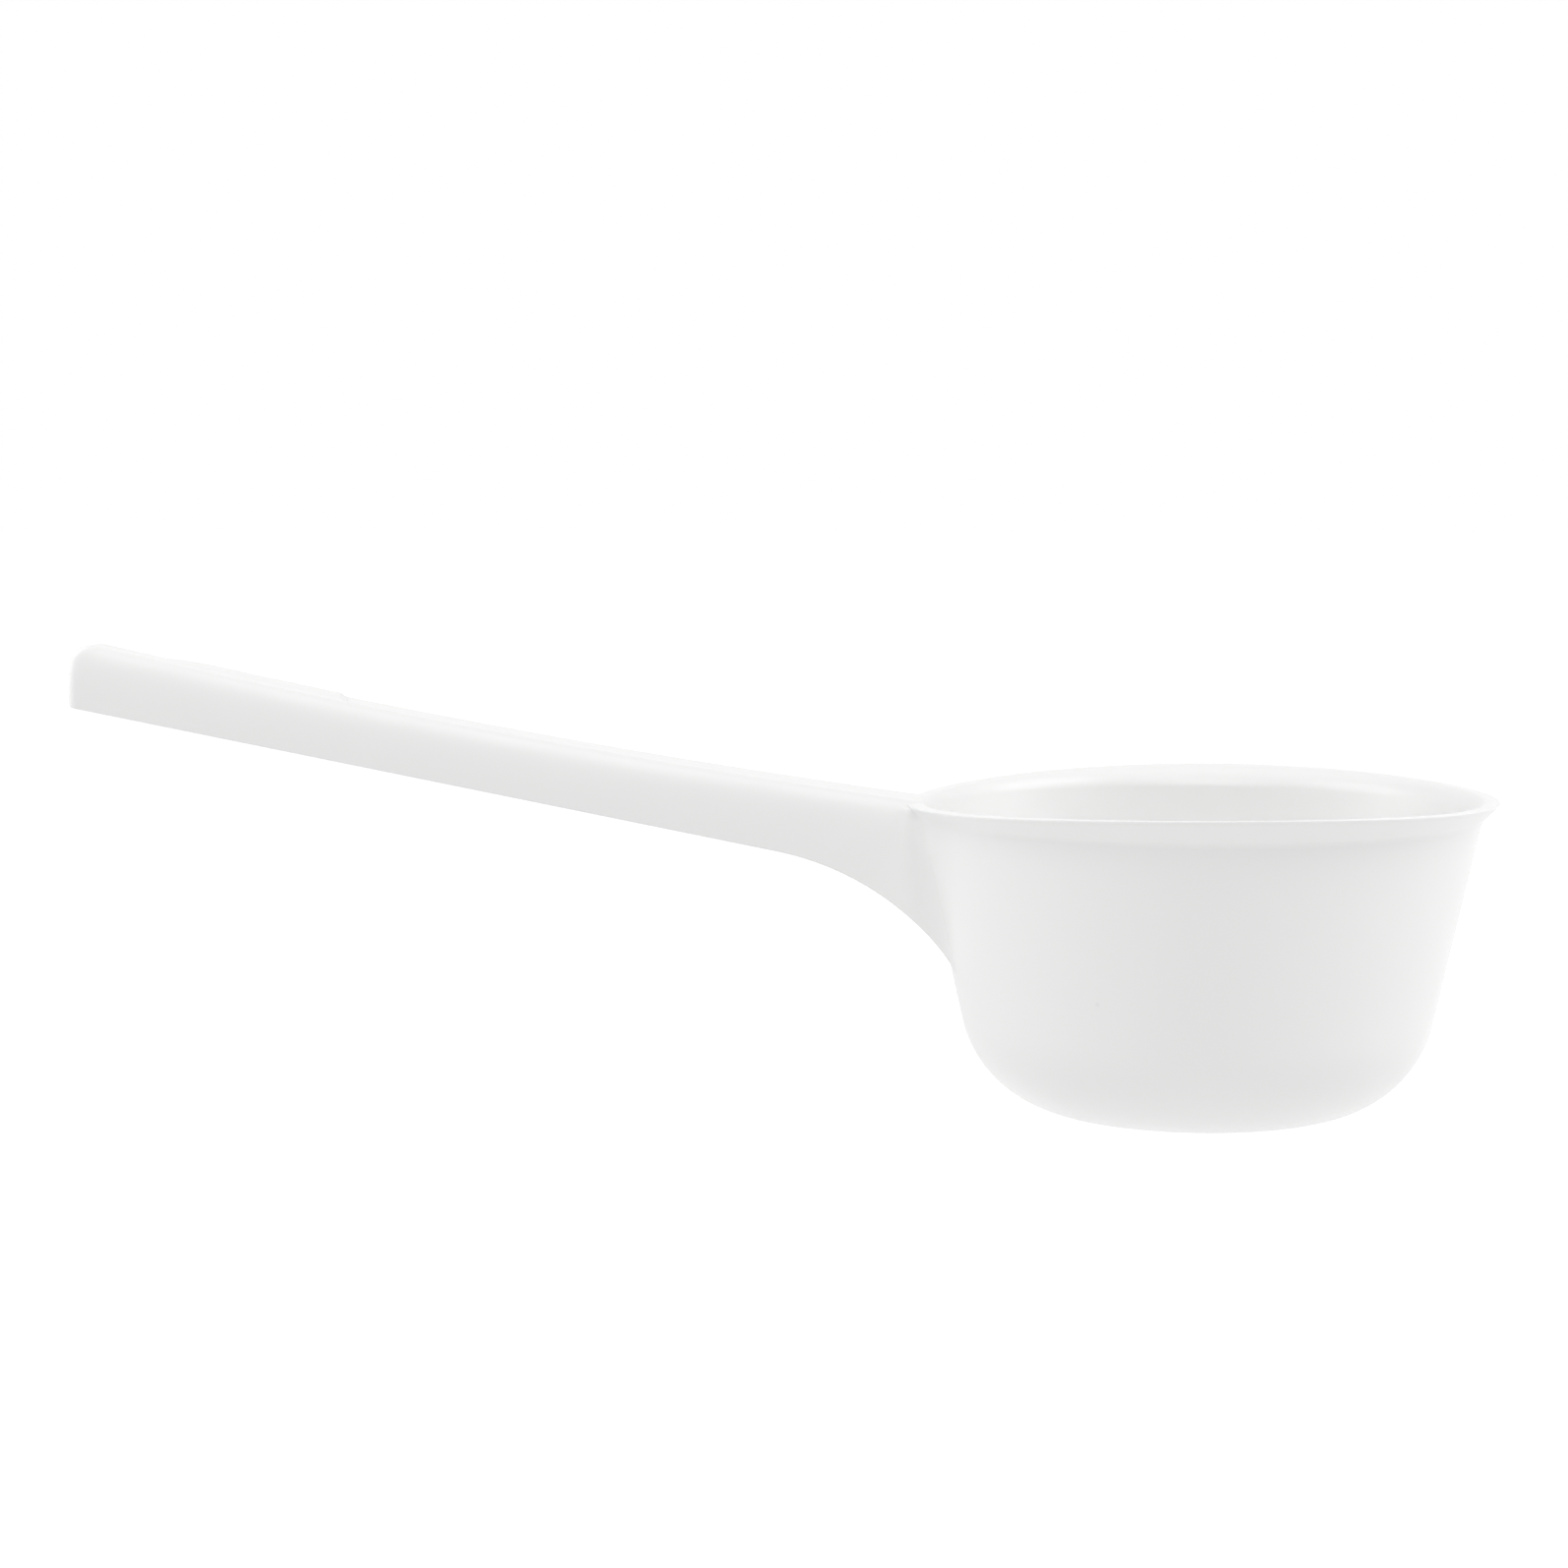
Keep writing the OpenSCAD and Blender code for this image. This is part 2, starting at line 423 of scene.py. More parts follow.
@dataclass(frozen=True)
class RootRows:
    """Rows of the handle's last stretch, from inside the bowl's wall outwards.

    The buried rows go through the wall and round the bowl under its skin, the next rows
    follow the fillet's circle, and the free rows lie along the handle.
    """

    inward: tuple[float, ...] = (1.0, 0.5, 0.1, 0.0, 0.0)
    tail: tuple[float, ...] = (1.6, 1.6, 1.6, 1.2, 0.6)
    sunk: tuple[float, ...] = (0.08, 0.08, 0.08, 0.05, 0.02)
    circle: int = 15
    free: tuple[float, ...] = (1.0, 2.2, 3.6)
    first_straight: float = 0.14

    def buried(self, values: tuple[float, ...]) -> np.ndarray:
        """Column with values for the buried rows and zero for all the others."""
        return np.concatenate([values, np.zeros(self.circle + len(self.free))])[:, None]

    def swing(self) -> np.ndarray:
        """Column of the way round the fillet's circle: 1 at the bowl and 0 at the handle."""
        return np.concatenate([np.ones(len(self.inward)), np.linspace(1, 0, self.circle),
                               np.zeros(len(self.free))])[:, None]

    def along(self) -> np.ndarray:
        """Column of the distances along the handle from where the circle ends."""
        return np.concatenate([np.zeros(len(self.inward) + self.circle), self.free])[:, None]

    def straight(self) -> np.ndarray:
        """Column of the way out along a line that runs straight on, from 0 to 1."""
        rows = len(self.inward) + self.circle + len(self.free)
        return np.concatenate([[0], np.linspace(self.first_straight, 1, rows - 1)])[:, None]


@dataclass(frozen=True)
class Handle:
    """Long channel handle, open underneath, that rises from the bowl and ends in a palm grip."""

    bowl: Bowl = field(default_factory=Bowl)
    # Outline from above and from the side, and the thickness.
    reach: float = 289.6
    root_w: float = 24.5
    tip_w: float = 16.0
    shoulder_w: float = 4.0
    tip_h: float = 118.36
    tip_depth: float = 17.26
    root_h: float = 79.16
    root_slope: float = math.tan(math.radians(7.5))
    wall: float = 1.3
    under_slope: float = math.radians(10.8)
    # Rounding of the end: its top corner, its upright edges and its foot.
    tip_corner_r: float = 7.5
    tip_side_r: float = 3.0
    tip_foot_r: float = 1.3
    # Top: shoulders, groove and palm swell, with distances from the end.
    shoulder_h: float = 15.0
    groove: float = 0.9
    swell: float = 1.3
    swell_fade: float = 22.0
    fade_half: float = 14.0
    swell_end: float = 71.0
    step_half: float = 1.0
    # Gusset, and the fillet into the bowl, which shrinks over its depth below the rim.
    gusset_r: float = 71.7
    gusset_reach: float = 105.7
    fillet_r: float = 6.0
    fillet_at_rim_r: float = 0.3
    fillet_depth: float = 2.0
    # Lower edges: least height of the side, and rounding, also as a share of the thickness.
    least_side: float = 1.0
    edge: float = 0.45
    edge_share: float = 0.45
    # Root: its rounded edge, where the search for it starts, how deep the skins end in the
    # bowl's wall, and how far and how soon the inner skin dips below the rim.
    root_edge: float = 0.5
    root_guess: float = 76.0
    buried: float = 0.15
    inner_buried: float = 0.6
    row_gap: float = 0.01
    dip: float = 2.4
    dip_speed: float = 1.6
    face_drop: float = 1.5
    face_rows: tuple[float, ...] = (1.0, 0.75, 0.5, 0.3)
    rows: RootRows = RootRows()
    grid: HandleGrid = HandleGrid()

    def half_w(self, reach: np.ndarray) -> np.ndarray:
        """Half the handle's width: a line that narrows evenly from the bowl to the tip."""
        run = self.reach - float(self.bowl.wall_radius(self.root_h))
        return (self.tip_w + (self.root_w - self.tip_w) * (self.reach - reach) / run) / 2

    def top(self, reach: np.ndarray) -> np.ndarray:
        """Height of the raised edges: a parabola that leaves the rim at the root's slope.

        Args:
            reach: Reaches from the bowl's axis.

        Returns:
            Heights, same shape.
        """
        start = float(self.bowl.wall_radius(self.root_h))
        run = self.reach - start
        curve = (self.tip_h - self.root_h - run * self.root_slope) / run ** 2
        s = reach - start
        return self.root_h + s * self.root_slope + curve * s * s

    def under(self, reach: np.ndarray) -> np.ndarray:
        """Height of the lower edges: a sloping line, then the gusset's arc that it touches.

        The last corner under the tip is rounded up by its own small radius.

        Args:
            reach: Reaches from the bowl's axis.

        Returns:
            Heights, same shape.
        """
        end_h = self.tip_h - self.tip_depth
        line = end_h - (self.reach - reach) * math.tan(self.under_slope)
        arc_top = end_h - (self.reach - self.gusset_reach) * math.tan(self.under_slope)
        arc_x = self.gusset_reach + self.gusset_r * math.sin(self.under_slope)
        arc_h = arc_top - self.gusset_r * math.cos(self.under_slope)
        arc = arc_h + np.sqrt(np.clip(self.gusset_r ** 2 - (arc_x - reach) ** 2, 0.0, None))
        return (np.where(reach > self.gusset_reach, line, arc)
                + corner_drop(self.tip_foot_r, self.reach - reach))

    def middle(self, reach: np.ndarray) -> np.ndarray:
        """Height of the middle above the raised edges: a groove that the palm swell fills.

        The swell fades out towards the end by one smooth step and stops at another.

        Args:
            reach: Reaches from the bowl's axis.

        Returns:
            Heights above the raised edges, same shape.
        """
        from_end = self.reach - reach
        fade = ease((from_end - self.swell_fade + self.fade_half) / (2 * self.fade_half))
        step = ease((self.swell_end + self.step_half - from_end) / (2 * self.step_half))
        return (self.swell + self.groove) * fade * step - self.groove

    def section(self, reach: np.ndarray, place: np.ndarray, set_in: float
                ) -> tuple[np.ndarray, np.ndarray]:
        """Points of the handle's section at a reach from the bowl's axis.

        Place 0 is the middle of the top, 1 the raised edge, 2 the foot of the shoulder, which
        is a quarter of an ellipse, and 3 the lower edge. Its sign is the side.

        Args:
            reach: Reaches, any shape.
            place: Places across the section, same shape or broadcast to it.
            set_in: Thickness by which this skin lies inside the outer one.

        Returns:
            The distance across and the height.
        """
        from_end = self.reach - set_in - reach
        top = self.top(reach) - set_in - corner_drop(self.tip_corner_r - set_in, from_end)
        narrow = corner_drop(self.tip_side_r - set_in, from_end)
        crest = self.half_w(reach) - self.shoulder_w
        wide = self.shoulder_w - set_in - narrow
        under = self.under(reach) + self.edge
        deep = np.minimum(self.shoulder_h - set_in, top - under - self.least_side + self.edge)
        m = np.abs(place)
        across = np.clip(m, 0, 1)
        turn = np.clip(m - 1, 0, 1) * math.pi / 2
        down = np.clip(m - 2, 0, 1)
        y = crest * across + wide * np.sin(turn)
        h = (top + self.middle(reach) * (1 - across ** 2) ** 2 - deep * (1 - np.cos(turn))
             - (top - deep - under) * down)
        return np.sign(place) * y, h

    def places(self) -> np.ndarray:
        """Places across the section from one lower edge over the top to the other."""
        half = np.concatenate([np.linspace(0, 1, self.grid.top + 1)[:-1],
                               np.linspace(1, 2, self.grid.shoulder + 1)[:-1],
                               2 + np.array(self.grid.side)])
        return np.concatenate([-half[:0:-1], half])

    def root(self, place: np.ndarray) -> tuple[np.ndarray, np.ndarray]:
        """The outer skin's last stretch, from just clear of the bowl into its wall.

        Below the rim each line follows a circle that touches both the handle's side and the
        bowl's outside, runs on round the bowl just under its skin, then goes inwards to just
        short of its inside. Above the rim it runs straight on and ends flush with the inside.
        In between the two are mixed.

        Args:
            place: Places across the section.

        Returns:
            Points from the bowl outwards, shape (rows, places, 3), and the reach at which
            each line's free stretch starts.
        """
        rows = self.rows
        inward, tail, sunk = (rows.buried(v) for v in (rows.inward, rows.tail, rows.sunk))
        swing, along, straight = rows.swing(), rows.along(), rows.straight()
        reach = np.full((len(swing), len(place)), self.root_guess)
        for _ in range(self.grid.settle):
            side, h = self.section(reach, place, 0.0)
            y, out = np.abs(side), self.bowl.outside(h)
            rim = self.bowl.rim_height(-reach)
            under_rim = ease((rim - h) / self.fillet_depth)
            r = self.fillet_at_rim_r + (self.fillet_r - self.fillet_at_rim_r) * under_rim
            touch = np.sqrt((out + r) ** 2 - (y + r) ** 2)
            angle = swing * np.arctan2(touch, y + r)
            scale = 1 - sunk / out - inward * (1 - (self.bowl.inside(h) + self.buried) / out)
            curved, wide = touch - r * np.sin(angle), y + r * (1 - np.cos(angle))
            away, round_bowl = np.hypot(curved, wide) * scale, np.arctan2(wide, curved) + tail / out
            curved, wide = away * np.cos(round_bowl) + along, away * np.sin(round_bowl)
            flush = np.sqrt(self.bowl.inside(h) ** 2 - y ** 2)
            clear = touch + along[-1]
            level = flush + (clear - flush) * straight
            reach = under_rim * curved + (1 - under_rim) * level
        y = np.sign(place) * (under_rim * wide + (1 - under_rim) * y)
        return np.stack([-reach, y, h], axis=-1), reach[-1]

    def end_face(self, edge: np.ndarray) -> np.ndarray:
        """Rows down the bowl's inside from the handle's end, buried once below the rim.

        Args:
            edge: The outer skin's first row, shape (places, 3).

        Returns:
            Rows from the lowest one up to the edge, not counting the edge itself.
        """
        reach = np.hypot(edge[:, 0], edge[:, 1])
        top = edge[:, 2]
        low = np.minimum(top, self.bowl.rim_height(edge[:, 0]) - self.face_drop)
        t = np.array(self.face_rows)[:, None]
        h = top + (low - top) * t
        scale = 1 + (self.bowl.inside(h) - self.bowl.inside(top) + self.buried * t) / reach
        return np.stack([edge[:, 0] * scale, edge[:, 1] * scale, h], axis=-1)

    def stations(self) -> np.ndarray:
        """Rows from mid-handle to the tip's corner, evenly spaced in three stretches.

        Returns:
            Reaches, closest over the swell's step.
        """
        grid = self.grid
        step = self.reach - self.swell_end
        before, after = step - grid.step_reach, step + grid.step_reach
        corner = self.reach - self.tip_corner_r
        return np.concatenate([np.linspace(grid.mid_reach, before, grid.middle + 1)[:-1],
                               np.linspace(before, after, grid.step + 1)[:-1],
                               np.linspace(after, corner, grid.palm + 1)[:-1]])

    def skin(self, place: np.ndarray, start: np.ndarray, set_in: float) -> np.ndarray:
        """The free stretch of one skin, its rounded tip, and the flat end down to a point.

        Args:
            place: Places across the section.
            start: Reach at which each line starts.
            set_in: Thickness by which the skin lies inside the outer one.

        Returns:
            Points, shape (rows, places, 3).
        """
        grid, end = self.grid, self.reach - set_in
        near = start + (grid.mid_reach - start) * np.linspace(0, 1, grid.near + 1)[1:-1, None]
        swing = np.linspace(0, math.pi / 2, grid.corner + 1)
        corner = end - (self.tip_corner_r - set_in) * (1 - np.sin(swing))
        far = np.concatenate([self.stations(), corner])
        reach = np.concatenate([near, np.broadcast_to(far[:, None], (len(far), len(place)))])
        y, h = self.section(reach, np.broadcast_to(place, reach.shape), set_in)
        body = np.stack([-reach, y, h], axis=-1)
        middle = np.array([-end, 0.0, body[-1, 0, 2]])
        shrink = np.array(grid.end)[:, None, None]
        return np.concatenate([body, middle + (body[-1] - middle) * shrink])

    def inner_root(self, place: np.ndarray, outer: np.ndarray) -> np.ndarray:
        """The inner skin's last stretch, which runs into the bowl's wall and dips below the rim.

        Each point keeps the reach of the outer skin's point until it is inside the wall, so
        that the strip between the lower edges goes straight across.

        Args:
            place: Places across the section.
            outer: The outer skin's last stretch, shape (rows, places, 3).

        Returns:
            Points, shape (rows, places, 3).
        """
        beside = -outer[..., 0]
        least = self.row_gap * np.arange(len(outer))[:, None]
        reach, along = beside.copy(), np.ones_like(beside)
        for _ in range(self.grid.settle_inner):
            y, h = self.section(reach, place, self.wall)
            h = h - self.dip * (1 - ease(along * self.dip_speed)) * (1 - ease(np.abs(place) - 1))
            end = np.sqrt((self.bowl.outside(h) - self.inner_buried) ** 2 - y ** 2)
            along = np.clip(np.maximum((beside - end) / (beside[-1] - end), least), 0, 1)
            along[-1] = 1.0
            reach = end + (beside[-1] - end) * along
        return np.stack([-reach, y, h], axis=-1)

    def lower_edges(self, outer: np.ndarray, inner: np.ndarray) -> np.ndarray:
        """Rounded strip between the lower edges of the two skins.

        Args:
            outer: The outer skin's lowest line, shape (rows, 3).
            inner: The inner skin's lowest line, same shape.

        Returns:
            Points between the two lines, shape (rows, steps, 3).
        """
        drop = np.array([0.0, 0.0, self.edge])
        out_corner, in_corner = outer - drop, inner - drop
        over = unit(in_corner - out_corner)
        gap = np.linalg.norm(in_corner - out_corner, axis=-1, keepdims=True)
        soft = np.minimum(self.edge, gap * self.edge_share)
        first = rounded(outer, out_corner, out_corner + soft * over, self.grid.edge)[1:]
        second = rounded(in_corner - soft * over, in_corner, inner, self.grid.edge)[:-1]
        return np.moveaxis(np.concatenate([first, second]), 0, 1)

    def shell(self) -> Shell:
        """The handle's closed skin, as rings across it from inside the bowl's wall to the tip.

        Each ring goes over the outer skin, round one lower edge, back along the inner skin
        and round the other lower edge.

        Returns:
            The skin. Its first and last ring are pinched flat, and the weld closes them.
        """
        place = self.places()
        root, start = self.root(place)
        face = self.end_face(root[0])
        ahead, below = unit(root[1] - root[0]), unit(face[-1] - root[0])
        corner = rounded(root[0] + self.root_edge * below, root[0],
                         root[0] + self.root_edge * ahead, self.grid.edge)
        head = np.concatenate([face[:-1], corner])
        outer = np.concatenate([head, root[1:], self.skin(place, start, 0.0)])
        inner_root = self.inner_root(place, root)
        inner = np.concatenate([np.repeat(inner_root[:1], len(head), axis=0), inner_root[1:],
                                self.skin(place, start, self.wall)])
        near, far = (self.lower_edges(outer[:, side], inner[:, side]) for side in (-1, 0))
        ring = np.concatenate([outer, near, inner[:, ::-1], far[:, ::-1]], axis=1)
        halfway = (outer[0] + inner[0]) / 2
        steps = near.shape[1]
        pinch = np.concatenate([halfway, np.repeat(halfway[-1:], steps, axis=0),
                                halfway[::-1], np.repeat(halfway[:1], steps, axis=0)])
        return Shell(np.concatenate([pinch[None], ring]))


@dataclass(frozen=True)
class Graph:
    """The nodes of a material or the world, with short calls that add and join them."""

    tree: bpy.types.NodeTree

    def add(self, kind: str, values: dict[str, object] | None = None,
            options: dict[str, object] | None = None) -> bpy.types.Node:
        """Adds a node.

        Args:
            kind: The node's type.
            values: Constants for its inputs, by their names.
            options: Settings of the node itself, by their names, set first.

        Returns:
            The node.
        """
        node = self.tree.nodes.new(kind)
        for name, option in (options or {}).items():
            setattr(node, name, option)
        for name, value in (values or {}).items():
            node.inputs[name].default_value = value
        return node

    def join(self, source: bpy.types.NodeSocket, target: bpy.types.NodeSocket) -> None:
        """Joins an output to an input."""
        self.tree.links.new(source, target)


@dataclass(frozen=True)
class Speck:
    """A faint darker fleck in the plastic: its middle and size in millimetres."""

    place: tuple[float, float, float]
    radius: float
    depth: float


@dataclass(frozen=True)
class Grain:
    """A noise on Object coordinates: cycles per metre and finer layers.

    As a relief it also has a strength and a height in metres.
    """

    scale: float
    detail: float
    strength: float = 0.0
    height: float = 0.0


@dataclass(frozen=True)
class MouldedWhite:
    """Satin white moulded plastic: soft sheen, a faint ripple and a slight unevenness of tone.

    Clouds mix the pale and the deep white, and patches set the roughness.
    """

    name: str = "white_plastic"
    pale: tuple[float, float, float] = (0.905, 0.905, 0.9)
    deep: tuple[float, float, float] = (0.885, 0.886, 0.882)
    clouds: Grain = Grain(14.0, 3.0)
    smooth: float = 0.3
    rough: float = 0.4
    patches: Grain = Grain(60.0, 4.0)
    patch_range: tuple[float, float] = (0.3, 0.7)
    refraction: float = 1.49
    reliefs: tuple[Grain, ...] = (Grain(45.0, 1.0, 0.06, 0.0006),
                                  Grain(2600.0, 2.0, 0.05, 0.00004))
    specks: tuple[Speck, ...] = (Speck((-24.6, -56.8, 35.3), 0.75, 0.06),)

    def build(self) -> bpy.types.Material:
        """Makes the material.

        Returns:
            The new material, with its tone, sheen and relief on Object coordinates.
        """
        material = bpy.data.materials.new(self.name)
        material.use_nodes = True
        graph = Graph(material.node_tree)
        shader = material.node_tree.nodes["Principled BSDF"]
        shader.inputs["IOR"].default_value = self.refraction
        place = graph.add("ShaderNodeTexCoord").outputs["Object"]
        graph.join(self.colour(graph, place), shader.inputs["Base Color"])
        graph.join(self.sheen(graph, place), shader.inputs["Roughness"])
        graph.join(self.relief(graph, place), shader.inputs["Normal"])
        return material

    def noise(self, graph: Graph, place: bpy.types.NodeSocket,
              grain: Grain) -> bpy.types.NodeSocket:
        """Adds a noise.

        Args:
            graph: The material's nodes.
            place: Object coordinates.
            grain: The noise's size.

        Returns:
            The noise's value.
        """
        noise = graph.add("ShaderNodeTexNoise", {"Scale": grain.scale, "Detail": grain.detail})
        graph.join(place, noise.inputs["Vector"])
        return noise.outputs["Fac"]

    def colour(self, graph: Graph, place: bpy.types.NodeSocket) -> bpy.types.NodeSocket:
        """Colour: a cloudy mix of two whites, with each speck darkened.

        Args:
            graph: The material's nodes.
            place: Object coordinates.

        Returns:
            The colour.
        """
        tone = graph.add("ShaderNodeMix", {"A": (*self.pale, 1.0), "B": (*self.deep, 1.0)},
                         {"data_type": "RGBA"})
        graph.join(self.noise(graph, place, self.clouds), tone.inputs["Factor"])
        colour = tone.outputs["Result"]
        for speck in self.specks:
            colour = self.fleck(graph, place, colour, speck)
        return colour

    def fleck(self, graph: Graph, place: bpy.types.NodeSocket, colour: bpy.types.NodeSocket,
              speck: Speck) -> bpy.types.NodeSocket:
        """Darkens a small round spot: full at its middle, nothing from its radius outwards.

        Args:
            graph: The material's nodes.
            place: Object coordinates.
            colour: The colour so far.
            speck: The spot.

        Returns:
            The colour with the spot in it.
        """
        away = graph.add("ShaderNodeVectorMath", options={"operation": "DISTANCE"})
        graph.join(place, away.inputs[0])
        away.inputs[1].default_value = tuple(v * METRE for v in speck.place)
        fade = graph.add("ShaderNodeMapRange",
                         {"From Min": 0.0, "From Max": speck.radius * METRE,
                          "To Min": 1.0, "To Max": 0.0},
                         {"interpolation_type": "SMOOTHSTEP"})
        graph.join(away.outputs["Value"], fade.inputs["Value"])
        dark = graph.add("ShaderNodeMix", {"B": (*(c * (1 - speck.depth) for c in self.deep), 1.0)},
                         {"data_type": "RGBA"})
        graph.join(fade.outputs["Result"], dark.inputs["Factor"])
        graph.join(colour, dark.inputs["A"])
        return dark.outputs["Result"]

    def sheen(self, graph: Graph, place: bpy.types.NodeSocket) -> bpy.types.NodeSocket:
        """Roughness: patches between the smooth and the rough value.

        Args:
            graph: The material's nodes.
            place: Object coordinates.

        Returns:
            The roughness.
        """
        low, high = self.patch_range
        sheen = graph.add("ShaderNodeMapRange", {"From Min": low, "From Max": high,
                                                 "To Min": self.smooth, "To Max": self.rough})
        graph.join(self.noise(graph, place, self.patches), sheen.inputs["Value"])
        return sheen.outputs["Result"]

    def relief(self, graph: Graph, place: bpy.types.NodeSocket) -> bpy.types.NodeSocket:
        """Relief: a long ripple with a fine grain on it.

        Args:
            graph: The material's nodes.
            place: Object coordinates.

        Returns:
            The normal.
        """
        below = None
        for grain in self.reliefs:
            bump = graph.add("ShaderNodeBump", {"Strength": grain.strength,
                                                "Distance": grain.height})
            graph.join(self.noise(graph, place, grain), bump.inputs["Height"])
            if below is not None:
                graph.join(below, bump.inputs["Normal"])
            below = bump.outputs["Normal"]
        return below


@dataclass(frozen=True)
class Dipper:
    """The whole moulding: a bowl and a handle in one white plastic."""

    bowl: Bowl = field(default_factory=Bowl)
    handle: Handle = field(default_factory=Handle)
    finish: MouldedWhite = field(default_factory=MouldedWhite)

    def build(self) -> bpy.types.Object:
        """Builds the moulding and dresses it.

        Returns:
            The dressed piece, which stands for the frame's one node.
        """
        piece = moulding("dipper_moulding", [self.bowl.shell(), self.handle.shell()])
        piece.data.materials.append(self.finish.build())
        even = piece.modifiers.new("even_normals", "WEIGHTED_NORMAL")
        even.keep_sharp = True
        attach(piece, "root")
        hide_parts("dipper")
        return piece


class LampRole(Enum):
    """What each soft lamp does for the object."""

    LEFT = "left"
    RIGHT = "right"
    HIGH_LEFT = "high_left"
    HIGH_RIGHT = "high_right"
    FRONT = "front"


@dataclass(frozen=True)
class SoftLamp:
    """A square soft lamp that looks at the middle of the object, in metres."""

    role: LampRole
    place: tuple[float, float, float]
    size: float
    watts: float

    def build(self, target: Vector) -> bpy.types.Object:
        """Puts the lamp in place.

        Args:
            target: The point that it looks at, in metres.

        Returns:
            The lamp.
        """
        light = bpy.data.lights.new(f"lamp_{self.role.value}", "AREA")
        light.shape = "SQUARE"
        light.size = self.size
        light.energy = self.watts
        lamp = bpy.data.objects.new(light.name, light)
        look = target - Vector(self.place)
        lamp.matrix_world = (Matrix.Translation(self.place)
                             @ look.to_track_quat("-Z", "Y").to_matrix().to_4x4())
        bpy.context.scene.collection.objects.link(lamp)
        return lamp


@dataclass(frozen=True)
class Camera:
    """The camera that was fitted to the photograph, in millimetres and degrees.

    Its clip distances are in metres.
    """

    aim: tuple[float, float, float] = (-103.41, -16.38, 83.7)
    distance: float = 900.0
    pitch: float = 5.41
    yaw: float = 5.27
    lens: float = 82.5
    sensor: float = 36.0
    clip: tuple[float, float] = (0.01, 50.0)

    def build(self) -> bpy.types.Object:
        """Puts the camera at its distance behind the point it looks at.

        Returns:
            The camera, set as the scene's own.
        """
        yaw, pitch = math.radians(self.yaw), math.radians(self.pitch)
        right = Vector((math.cos(yaw), math.sin(yaw), 0.0))
        ahead = Vector((-math.sin(yaw) * math.cos(pitch), math.cos(yaw) * math.cos(pitch),
                        -math.sin(pitch)))
        up = right.cross(ahead)
        data = bpy.data.cameras.new("camera")
        data.lens, data.sensor_width, data.sensor_fit = self.lens, self.sensor, "HORIZONTAL"
        data.clip_start, data.clip_end = self.clip
        camera = bpy.data.objects.new("camera", data)
        turn = Matrix((right, up, -ahead)).transposed().to_4x4()
        place = (Vector(self.aim) - self.distance * ahead) * METRE
        camera.matrix_world = Matrix.Translation(place) @ turn
        bpy.context.scene.collection.objects.link(camera)
        bpy.context.scene.camera = camera
        return camera


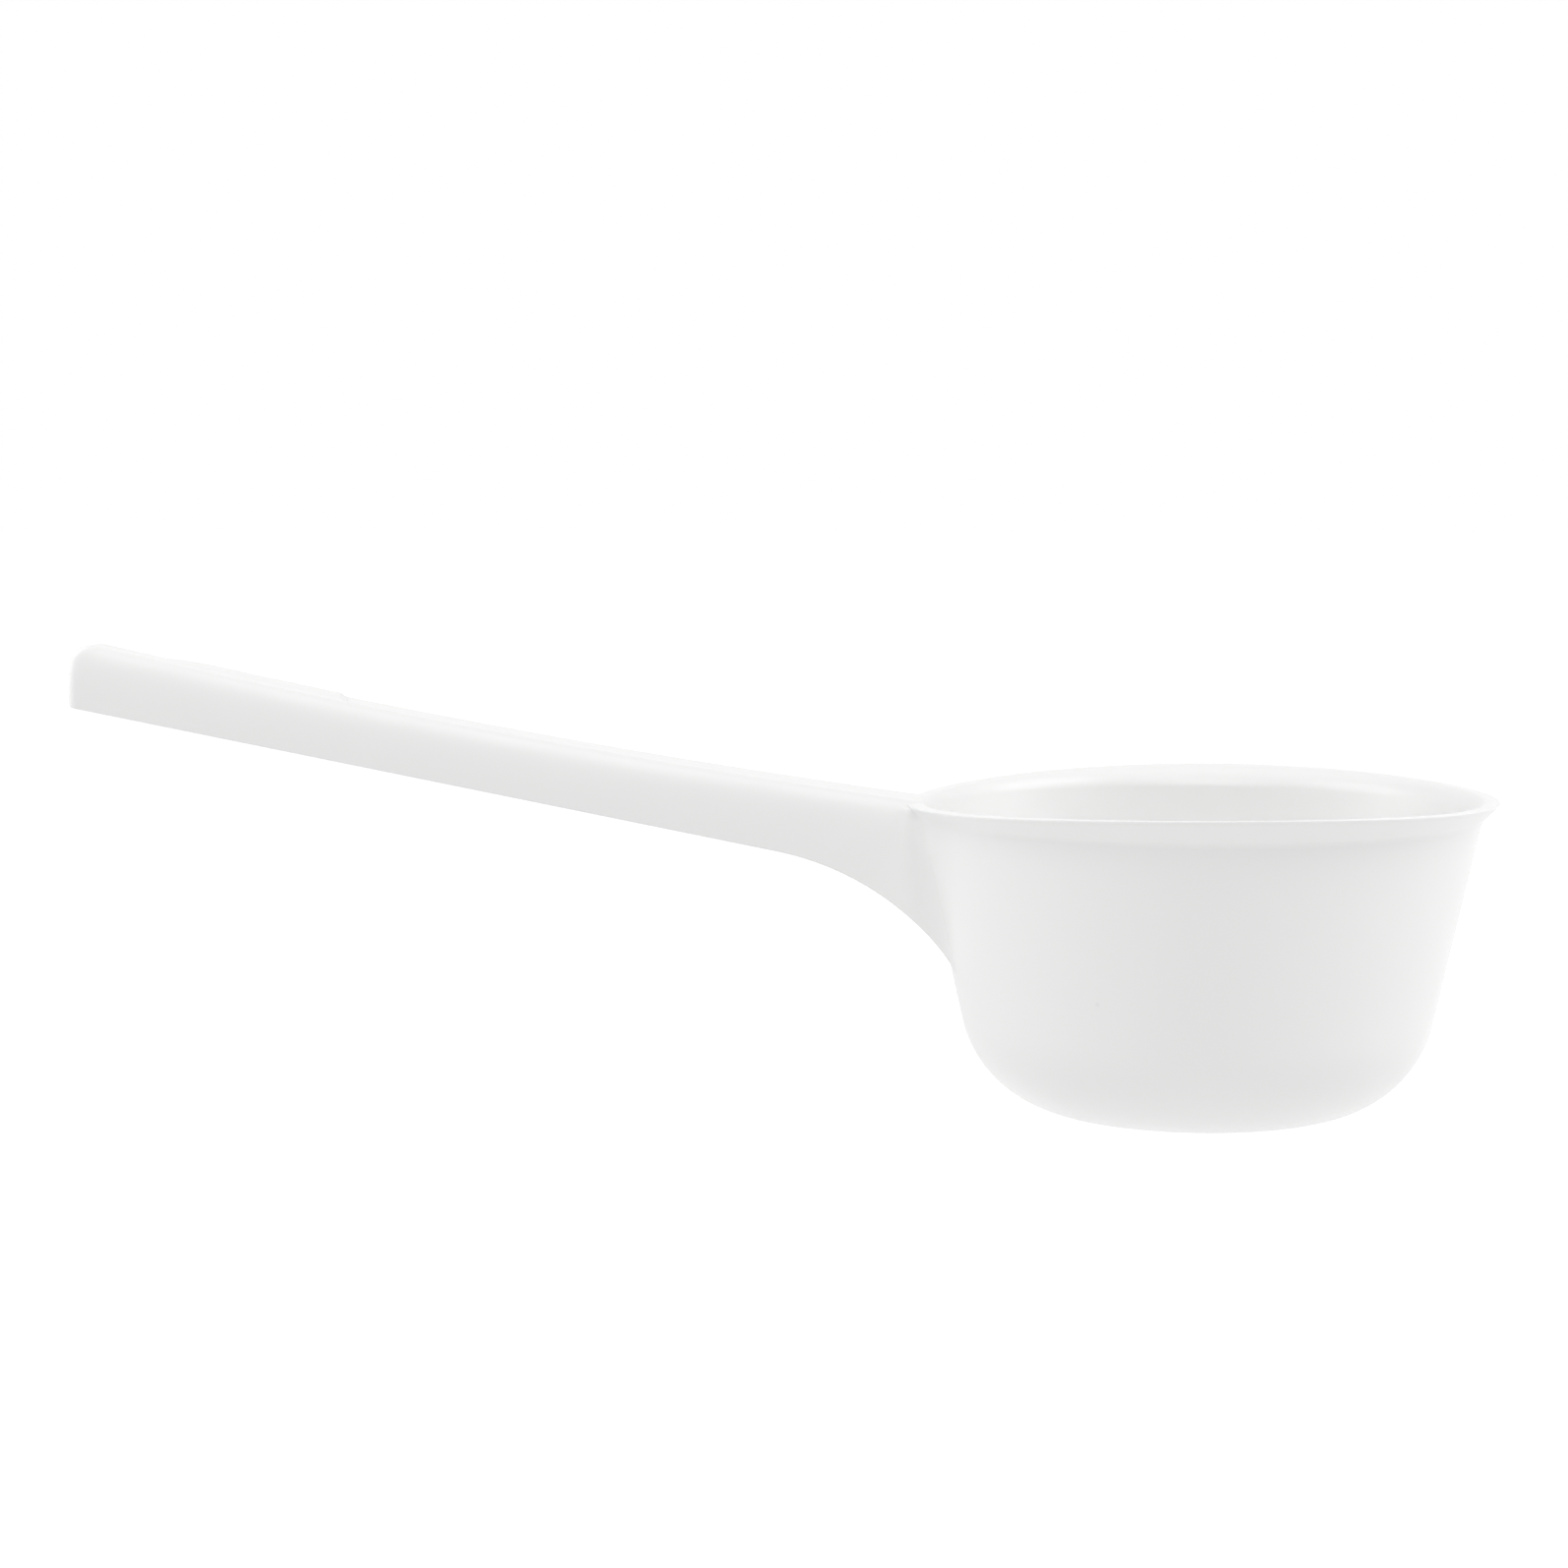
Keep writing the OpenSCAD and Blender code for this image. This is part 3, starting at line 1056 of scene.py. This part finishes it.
@dataclass(frozen=True)
class Studio:
    """Pale floor, white surround and soft lamps, in metres.

    The floor and the surround have one light for the object and another where they are
    shown: seen by the camera, mirrored, or seen through something. Where the floor is shown,
    a share of its light is real and keeps the shadow.
    """

    aim: tuple[float, float, float] = (-0.1, 0.0, 0.06)
    half_floor: float = 6.0
    floor_white: float = 0.15
    floor_glow: float = 0.773
    floor_pale: float = 0.95
    floor_shown: float = 1.25
    shadow_kept: float = 0.25
    surround: float = 0.3
    lamps: tuple[SoftLamp, ...] = (
        SoftLamp(LampRole.LEFT, (-1.5, 0.2, 0.5), 1.0, 3.6),
        SoftLamp(LampRole.RIGHT, (1.4, 0.2, 0.5), 1.0, 3.5),
        SoftLamp(LampRole.HIGH_LEFT, (-1.2, 0.0, 1.2), 1.0, 7.7),
        SoftLamp(LampRole.HIGH_RIGHT, (1.1, 0.0, 1.2), 1.0, 9.5),
        SoftLamp(LampRole.FRONT, (-0.1, -1.1, 1.3), 1.0, 8.3),
    )

    def split(self, graph: Graph, light: bpy.types.Node, seen: bpy.types.Node,
              output: str) -> None:
        """Gives the object's light one shader, and rays that show the surround another.

        Args:
            graph: The nodes of a material or the world.
            light: The shader that lights the object.
            seen: The shader where the surround is seen, mirrored or seen through.
            output: Type of the output node.
        """
        path = graph.add("ShaderNodeLightPath")
        shown = path.outputs["Is Camera Ray"]
        for name in ("Is Glossy Ray", "Is Transmission Ray"):
            either = graph.add("ShaderNodeMath",
                               options={"operation": "ADD", "use_clamp": True})
            graph.join(shown, either.inputs[0])
            graph.join(path.outputs[name], either.inputs[1])
            shown = either.outputs[0]
        mix, out = graph.add("ShaderNodeMixShader"), graph.add(output)
        graph.join(shown, mix.inputs[0])
        graph.join(light.outputs[0], mix.inputs[1])
        graph.join(seen.outputs[0], mix.inputs[2])
        graph.join(mix.outputs[0], out.inputs["Surface"])

    def build_surround(self) -> None:
        """Makes the world: white where it is shown, and a plain soft light elsewhere."""
        world = bpy.data.worlds.new("surround")
        world.use_nodes = True
        world.node_tree.nodes.clear()
        graph = Graph(world.node_tree)
        light = graph.add("ShaderNodeBackground", {"Strength": self.surround, "Color": WHITE})
        seen = graph.add("ShaderNodeBackground", {"Strength": 1.0, "Color": WHITE})
        self.split(graph, light, seen, "ShaderNodeOutputWorld")
        bpy.context.scene.world = world

    def floor_finish(self) -> bpy.types.Material:
        """Matt floor that lights the object softly from below and is shown nearly pure white.

        Where it is shown, part of its light is real, so that it keeps a faint shadow.

        Returns:
            The new material.
        """
        material = bpy.data.materials.new("floor_white")
        material.use_nodes = True
        material.node_tree.nodes.clear()
        graph = Graph(material.node_tree)
        matt = graph.add("ShaderNodeBsdfDiffuse", {"Color": (*(self.floor_white,) * 3, 1.0)})
        glow = graph.add("ShaderNodeEmission", {"Strength": self.floor_glow})
        light = graph.add("ShaderNodeAddShader")
        graph.join(matt.outputs[0], light.inputs[0])
        graph.join(glow.outputs[0], light.inputs[1])
        pale = graph.add("ShaderNodeBsdfDiffuse", {"Color": (*(self.floor_pale,) * 3, 1.0)})
        bright = graph.add("ShaderNodeEmission", {"Strength": self.floor_shown})
        seen = graph.add("ShaderNodeMixShader", {"Fac": 1 - self.shadow_kept})
        graph.join(pale.outputs[0], seen.inputs[1])
        graph.join(bright.outputs[0], seen.inputs[2])
        self.split(graph, light, seen, "ShaderNodeOutputMaterial")
        return material

    def build_floor(self) -> bpy.types.Object:
        """Lays the floor under the foot.

        Returns:
            The floor.
        """
        s = self.half_floor
        mesh = bpy.data.meshes.new("floor")
        mesh.from_pydata([(-s, -s, 0), (s, -s, 0), (s, s, 0), (-s, s, 0)], [], [(0, 1, 2, 3)])
        mesh.materials.append(self.floor_finish())
        floor = bpy.data.objects.new("floor", mesh)
        bpy.context.scene.collection.objects.link(floor)
        return floor

    def build(self) -> None:
        """Builds the floor, the surround and the lamps."""
        self.build_floor()
        self.build_surround()
        for lamp in self.lamps:
            lamp.build(Vector(self.aim))
            log.info("lamp %s at %s", lamp.role.value, lamp.place)


def main() -> None:
    """Builds the camera, the dipper and the studio, and logs the face count and lamp places."""
    bpy.context.scene.view_settings.view_transform = "Standard"
    Camera().build()
    piece = Dipper().build()
    log.info("built %s with %d faces", piece.name, len(piece.data.polygons))
    Studio().build()


if __name__ == "__main__":
    main()
